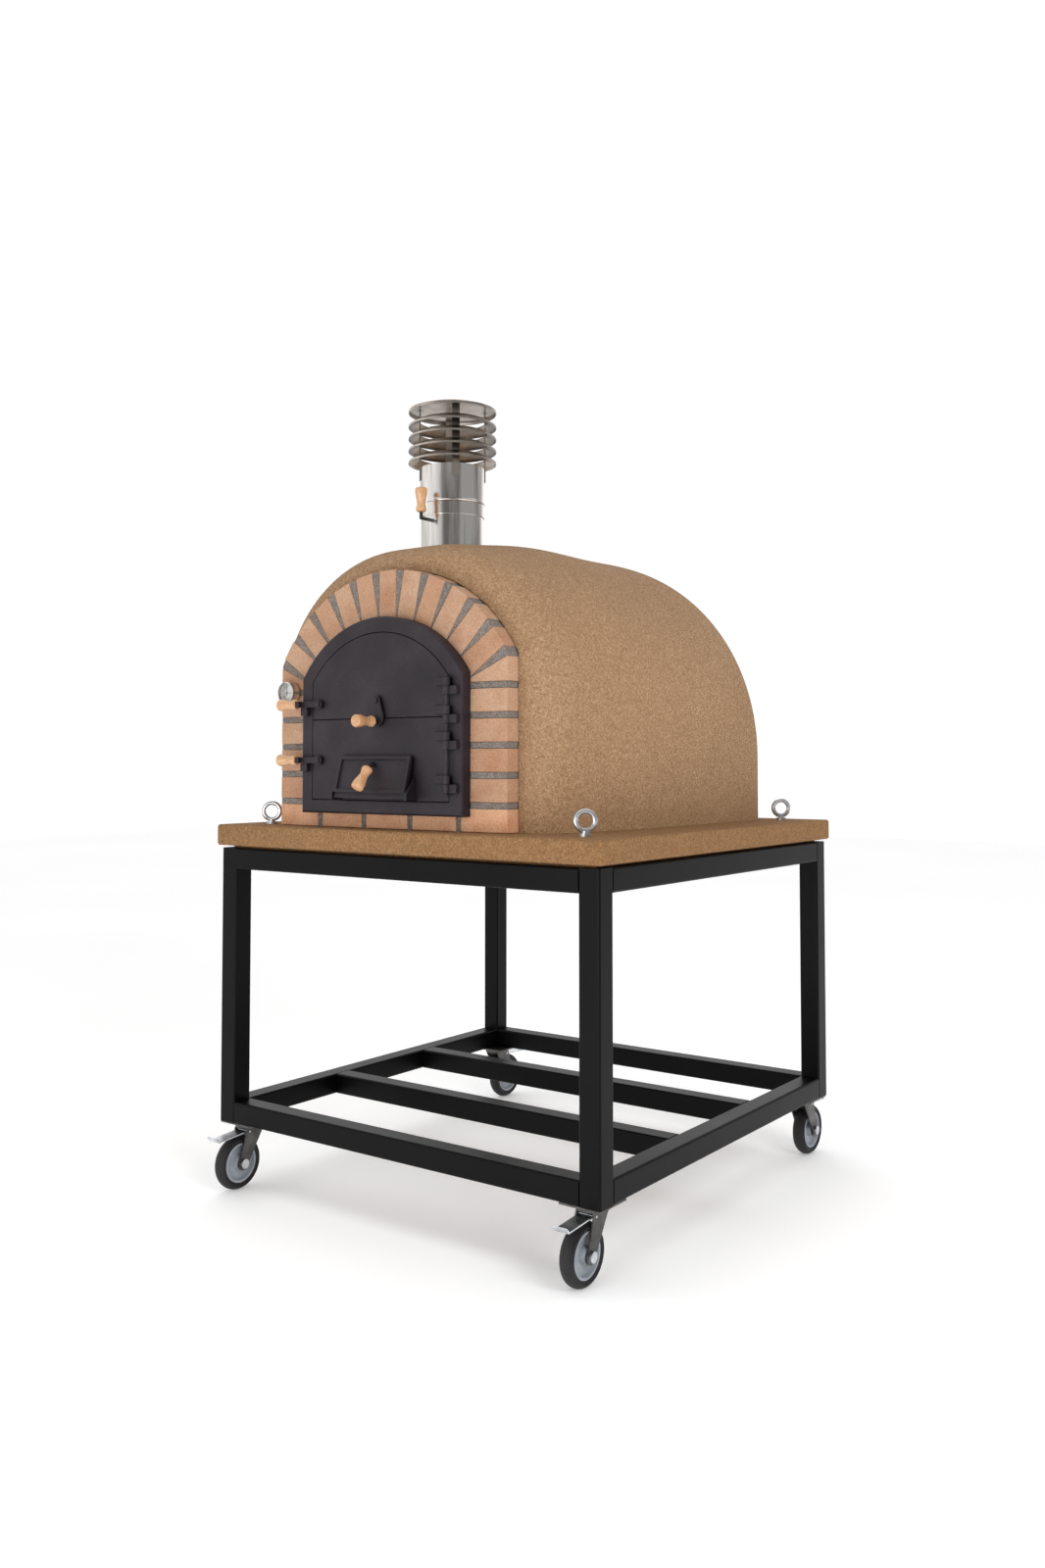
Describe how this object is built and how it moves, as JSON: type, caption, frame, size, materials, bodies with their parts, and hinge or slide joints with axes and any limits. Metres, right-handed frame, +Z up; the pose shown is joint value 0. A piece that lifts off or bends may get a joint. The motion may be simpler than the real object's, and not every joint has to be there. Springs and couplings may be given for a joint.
{
  "type": "wood-fired pizza oven",
  "caption": "Domed wood-fired brick oven with an arched brick front, iron double door and capped flue, on a steel trolley with braked swivel castors.",
  "frame": {"origin": "on the floor under the middle of the base slab", "axes": "+Z up, -Y towards the oven's door, +X to the right of someone facing the door"},
  "size_m": [1.1, 1.214, 1.869],
  "materials": {
    "frame_steel": "semi-gloss",
    "slab_stone": "cast concrete",
    "render": "granular",
    "blanket": "fibrous",
    "firebrick": "matte",
    "facing_brick": "matte",
    "mortar": "rough",
    "stainless": "brushed",
    "zinc_steel": "zinc plated",
    "cast_iron": "satin",
    "knob_wood": "varnished",
    "dial_case": "polished",
    "dial_face": "matte",
    "dial_lens": "clear",
    "dial_needle": "matte",
    "wheel_grey": "matte",
    "tyre_black": "matte"
  },
  "bodies": {
    "oven": {"frame_legs": "frame_steel", "top_rails": "frame_steel", "bottom_rails": "frame_steel", "shelf_bars": "frame_steel", "castor_top_plates": "zinc_steel", "base_slab": "slab_stone", "outer_render": "render", "insulation_blanket": "blanket", "brick_vault": "firebrick", "hearth_tiles": "firebrick", "facade_bricks": "facing_brick", "facade_mortar": "mortar", "flue_pipe": "stainless", "damper_pipe": "stainless", "cowl_rings": "stainless", "cowl_cap": "stainless", "cowl_straps": "stainless", "eye_bolts": "zinc_steel", "thermometer_case": "dial_case", "thermometer_dial": "dial_face", "thermometer_lens": "dial_lens", "door_frame": "cast_iron", "latch_keepers": "cast_iron", "hinge_pin": "cast_iron"},
    "lower_door_leaf": {"lower_door": "cast_iron", "lower_door_pivot": "cast_iron"},
    "upper_door_leaf": {"upper_door": "cast_iron", "upper_door_pivots": "cast_iron"},
    "upper_latch_lever": {"upper_latch": "cast_iron", "upper_latch_knob": "knob_wood"},
    "lower_latch_lever": {"lower_latch": "cast_iron", "lower_latch_knob": "knob_wood"},
    "peephole_shutter": {"peephole_cover": "cast_iron", "peephole_knob": "knob_wood"},
    "draught_shutter": {"draught_flap": "cast_iron", "draught_knob": "knob_wood"},
    "damper_blade": {"damper": "stainless", "damper_knob": "knob_wood"},
    "needle": {"thermometer_needle": "dial_needle"},
    "front_left_swivel": {"front_left_fork": "zinc_steel", "front_left_axle": "zinc_steel"},
    "front_left_wheel": {"front_left_tyre": "tyre_black", "front_left_wheel_core": "wheel_grey"},
    "front_left_brake": {"front_left_brake_pedal": "zinc_steel"},
    "front_right_swivel": {"front_right_fork": "zinc_steel", "front_right_axle": "zinc_steel"},
    "front_right_wheel": {"front_right_tyre": "tyre_black", "front_right_wheel_core": "wheel_grey"},
    "front_right_brake": {"front_right_brake_pedal": "zinc_steel"},
    "rear_left_swivel": {"rear_left_fork": "zinc_steel", "rear_left_axle": "zinc_steel"},
    "rear_left_wheel": {"rear_left_tyre": "tyre_black", "rear_left_wheel_core": "wheel_grey"},
    "rear_left_brake": {"rear_left_brake_pedal": "zinc_steel"},
    "rear_right_swivel": {"rear_right_fork": "zinc_steel", "rear_right_axle": "zinc_steel"},
    "rear_right_wheel": {"rear_right_tyre": "tyre_black", "rear_right_wheel_core": "wheel_grey"},
    "rear_right_brake": {"rear_right_brake_pedal": "zinc_steel"}
  },
  "joints": [
    {"name": "lower_door_hinge", "type": "hinge", "parent": "oven", "child": "lower_door_leaf", "pos_m": [0.1405, -0.518, 1.01], "axis": [0, 0, 1], "range_deg": [0, 85]},
    {"name": "upper_door_hinge", "type": "hinge", "parent": "lower_door_leaf", "child": "upper_door_leaf", "pos_m": [0.1405, -0.518, 1.151], "axis": [0, 0, 1], "range_deg": [0, 80]},
    {"name": "upper_latch_pivot", "type": "hinge", "parent": "upper_door_leaf", "child": "upper_latch_lever", "pos_m": [-0.2425, -0.516, 1.144], "axis": [0, 1, 0], "range_deg": [0, 45]},
    {"name": "lower_latch_pivot", "type": "hinge", "parent": "lower_door_leaf", "child": "lower_latch_lever", "pos_m": [-0.2425, -0.516, 1.015], "axis": [0, 1, 0], "range_deg": [0, 45]},
    {"name": "peephole_swing", "type": "hinge", "parent": "upper_door_leaf", "child": "peephole_shutter", "pos_m": [-0.065, -0.5145, 1.148], "axis": [0, 1, 0], "range_deg": [-90, 90]},
    {"name": "draught_tilt", "type": "hinge", "parent": "lower_door_leaf", "child": "draught_shutter", "pos_m": [-0.065, -0.53591, 0.934], "axis": [1, 0, 0], "range_deg": [0, 45]},
    {"name": "damper_turn", "type": "hinge", "parent": "oven", "child": "damper_blade", "pos_m": [-0.065, -0.249, 1.58], "axis": [0, 1, 0], "range_deg": [0, 90]},
    {"name": "needle_turn", "type": "hinge", "parent": "oven", "child": "needle", "pos_m": [-0.365, -0.4975, 1.1745], "axis": [0, 1, 0], "range_deg": [-135, 135]},
    {"name": "front_left_swivel_turn", "type": "hinge", "parent": "oven", "child": "front_left_swivel", "pos_m": [-0.49, -0.49, 0.14], "axis": [0, 0, 1], "continuous": true},
    {"name": "front_left_wheel_roll", "type": "hinge", "parent": "front_left_swivel", "child": "front_left_wheel", "pos_m": [-0.49, -0.528, 0.0625], "axis": [1, 0, 0], "continuous": true},
    {"name": "front_left_brake_press", "type": "hinge", "parent": "front_left_swivel", "child": "front_left_brake", "pos_m": [-0.49, -0.51, 0.1327], "axis": [1, 0, 0], "range_deg": [0, 8]},
    {"name": "front_right_swivel_turn", "type": "hinge", "parent": "oven", "child": "front_right_swivel", "pos_m": [0.49, -0.49, 0.14], "axis": [0, 0, 1], "continuous": true},
    {"name": "front_right_wheel_roll", "type": "hinge", "parent": "front_right_swivel", "child": "front_right_wheel", "pos_m": [0.49, -0.528, 0.0625], "axis": [1, 0, 0], "continuous": true},
    {"name": "front_right_brake_press", "type": "hinge", "parent": "front_right_swivel", "child": "front_right_brake", "pos_m": [0.49, -0.51, 0.1327], "axis": [1, 0, 0], "range_deg": [0, 8]},
    {"name": "rear_left_swivel_turn", "type": "hinge", "parent": "oven", "child": "rear_left_swivel", "pos_m": [-0.49, 0.49, 0.14], "axis": [0, 0, 1], "continuous": true},
    {"name": "rear_left_wheel_roll", "type": "hinge", "parent": "rear_left_swivel", "child": "rear_left_wheel", "pos_m": [-0.49, 0.528, 0.0625], "axis": [1, 0, 0], "continuous": true},
    {"name": "rear_left_brake_press", "type": "hinge", "parent": "rear_left_swivel", "child": "rear_left_brake", "pos_m": [-0.49, 0.51, 0.1327], "axis": [-1, 0, 0], "range_deg": [0, 8]},
    {"name": "rear_right_swivel_turn", "type": "hinge", "parent": "oven", "child": "rear_right_swivel", "pos_m": [0.49, 0.49, 0.14], "axis": [0, 0, 1], "continuous": true},
    {"name": "rear_right_wheel_roll", "type": "hinge", "parent": "rear_right_swivel", "child": "rear_right_wheel", "pos_m": [0.49, 0.528, 0.0625], "axis": [1, 0, 0], "continuous": true},
    {"name": "rear_right_brake_press", "type": "hinge", "parent": "rear_right_swivel", "child": "rear_right_brake", "pos_m": [0.49, 0.51, 0.1327], "axis": [-1, 0, 0], "range_deg": [0, 8]}
  ]
}
